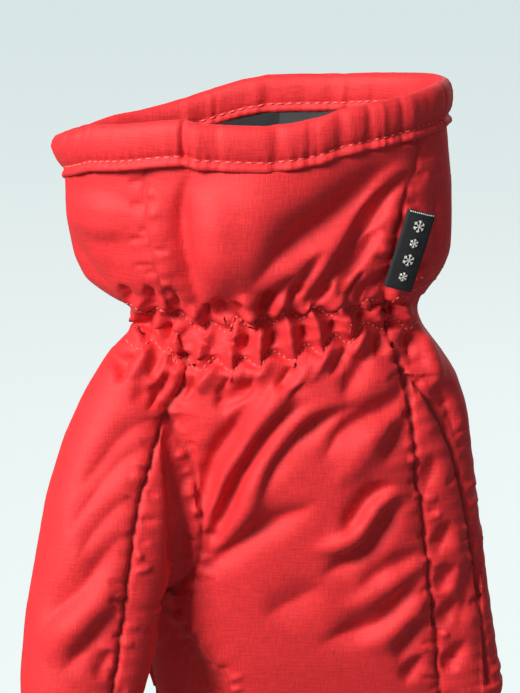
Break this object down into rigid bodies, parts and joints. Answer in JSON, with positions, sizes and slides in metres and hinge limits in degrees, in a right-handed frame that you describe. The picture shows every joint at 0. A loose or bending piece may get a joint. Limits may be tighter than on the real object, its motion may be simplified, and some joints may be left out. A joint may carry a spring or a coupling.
{
  "type": "ski glove",
  "caption": "Padded ski glove for a right hand: gauntlet cuff, gathered elastic wrist, box-walled fingers and a set-in thumb, with insulation, lining and a side label.",
  "frame": {"origin": "centre of the cuff's mouth", "axes": "+Z out of the mouth, away from the fingers; -Y out of the palm; -X towards the thumb's side"},
  "size_m": [0.1624, 0.0845, 0.2918],
  "materials": {
    "shell_red": "woven nylon ripstop, satin",
    "wadding": "loose polyester fibre",
    "fleece_black": "brushed fleece",
    "elastic_tape": "woven elastic",
    "label_black": "woven label"
  },
  "bodies": {
    "cuff": {"cuff_back_panel": "shell_red", "cuff_insulation_back": "wadding", "cuff_insulation_palm": "wadding", "cuff_lining": "fleece_black", "cuff_palm_panel": "shell_red", "hem_band": "shell_red", "hem_facing": "shell_red", "wrist_elastic": "elastic_tape", "wrist_gather_back": "shell_red", "wrist_gather_palm": "shell_red", "wrist_insulation": "wadding", "wrist_lining": "fleece_black"},
    "hand": {"back_panel": "shell_red", "finger_web": "shell_red", "hand_insulation_back": "wadding", "hand_insulation_palm": "wadding", "hand_lining_back": "fleece_black", "hand_lining_palm": "fleece_black", "index_soft_section": "shell_red", "little_soft_section": "shell_red", "middle_soft_section": "shell_red", "palm_panel": "shell_red", "ring_soft_section": "shell_red", "side_strip_outer": "shell_red", "side_strip_thumb": "shell_red", "thumb_root_gusset": "shell_red", "thumb_root_insulation": "wadding", "thumb_root_lining": "fleece_black", "thumb_root_outer_panel": "shell_red", "thumb_soft_section": "shell_red"},
    "thumb": {"thumb_back_panel": "shell_red", "thumb_front_panel": "shell_red", "thumb_insulation": "wadding", "thumb_lining": "fleece_black", "thumb_side_walls": "shell_red"},
    "index": {"index_back_panel": "shell_red", "index_front_panel": "shell_red", "index_insulation": "wadding", "index_lining": "fleece_black", "index_side_walls": "shell_red"},
    "middle": {"middle_back_panel": "shell_red", "middle_front_panel": "shell_red", "middle_insulation": "wadding", "middle_lining": "fleece_black", "middle_side_walls": "shell_red"},
    "ring": {"ring_back_panel": "shell_red", "ring_front_panel": "shell_red", "ring_insulation": "wadding", "ring_lining": "fleece_black", "ring_side_walls": "shell_red"},
    "little": {"little_back_panel": "shell_red", "little_front_panel": "shell_red", "little_insulation": "wadding", "little_lining": "fleece_black", "little_side_walls": "shell_red"},
    "label": {"label_back_layer": "label_black", "label_front_layer": "label_black"}
  },
  "joints": [
    {"name": "wrist_flex", "type": "hinge", "parent": "cuff", "child": "hand", "pos_m": [0.0078, 0, -0.071], "axis": [1, 0, 0], "range_deg": [-25, 25], "stiffness_Nm_per_rad": 0.6, "deforming": ["wrist_elastic", "wrist_gather_back", "wrist_gather_palm", "wrist_insulation", "wrist_lining"]},
    {"name": "label_swing", "type": "hinge", "parent": "cuff", "child": "label", "pos_m": [0.0507, -0.0244, -0.029], "axis": [-0.2752, 0.0073, -0.9614], "range_deg": [0, 70], "stiffness_Nm_per_rad": 0.0005},
    {"name": "thumb_curl", "type": "hinge", "parent": "hand", "child": "thumb", "pos_m": [-0.05442, -0.02468, -0.18209], "axis": [-0.9551, -0.2046, 0.2145], "range_deg": [0, 35], "stiffness_Nm_per_rad": 0.12, "deforming": ["thumb_soft_section"]},
    {"name": "index_curl", "type": "hinge", "parent": "hand", "child": "index", "pos_m": [-0.02076, -0.0007, -0.21395], "axis": [-0.9976, 0, 0.0698], "range_deg": [0, 45], "stiffness_Nm_per_rad": 0.12, "deforming": ["index_soft_section"]},
    {"name": "middle_curl", "type": "hinge", "parent": "hand", "child": "middle", "pos_m": [0.00866, -0.0007, -0.21397], "axis": [-0.9998, 0, 0.0175], "range_deg": [0, 45], "stiffness_Nm_per_rad": 0.12, "deforming": ["middle_soft_section"]},
    {"name": "ring_curl", "type": "hinge", "parent": "hand", "child": "ring", "pos_m": [0.03845, -0.0007, -0.21396], "axis": [-0.999, 0, -0.0436], "range_deg": [0, 45], "stiffness_Nm_per_rad": 0.12, "deforming": ["ring_soft_section"]},
    {"name": "little_curl", "type": "hinge", "parent": "hand", "child": "little", "pos_m": [0.06777, -0.0007, -0.21391], "axis": [-0.9925, 0, -0.1219], "range_deg": [0, 45], "stiffness_Nm_per_rad": 0.12, "deforming": ["little_soft_section"]}
  ]
}
